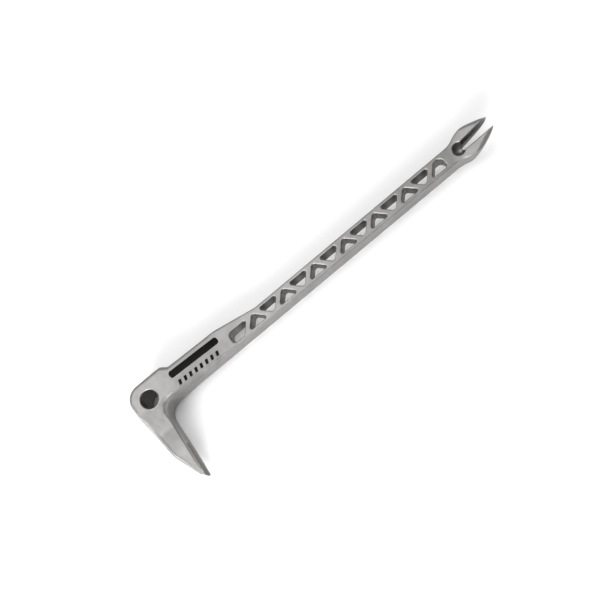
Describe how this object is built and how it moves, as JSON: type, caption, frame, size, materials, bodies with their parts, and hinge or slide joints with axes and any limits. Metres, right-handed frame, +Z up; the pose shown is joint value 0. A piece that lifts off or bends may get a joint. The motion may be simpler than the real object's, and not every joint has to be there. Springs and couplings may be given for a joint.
{
  "type": "claw bar",
  "caption": "One-piece cast titanium claw bar, 12 in: L head with striking face, hanging hole and nail claw, solid neck, truss-cut shank and a dished nail claw.",
  "frame": {"origin": "under the middle of the bounding box, on the surface that the bar lies on", "axes": "+X along the shank from the head to the end claw, +Y towards the striking face (the head claw points to -Y), +Z up out of the marked side face"},
  "size_m": [0.3048, 0.0762, 0.0254],
  "materials": {
    "cast_metal": "satin, finely grained cast titanium",
    "black_fill": "satin black enamel fill"
  },
  "bodies": {
    "root": {"bar": "cast_metal", "badge_inlay": "black_fill", "tick_inlay_1": "black_fill", "tick_inlay_2": "black_fill", "tick_inlay_3": "black_fill", "tick_inlay_4": "black_fill", "tick_inlay_5": "black_fill", "tick_inlay_6": "black_fill", "tick_inlay_7": "black_fill", "tick_inlay_8": "black_fill"}
  },
  "joints": []
}
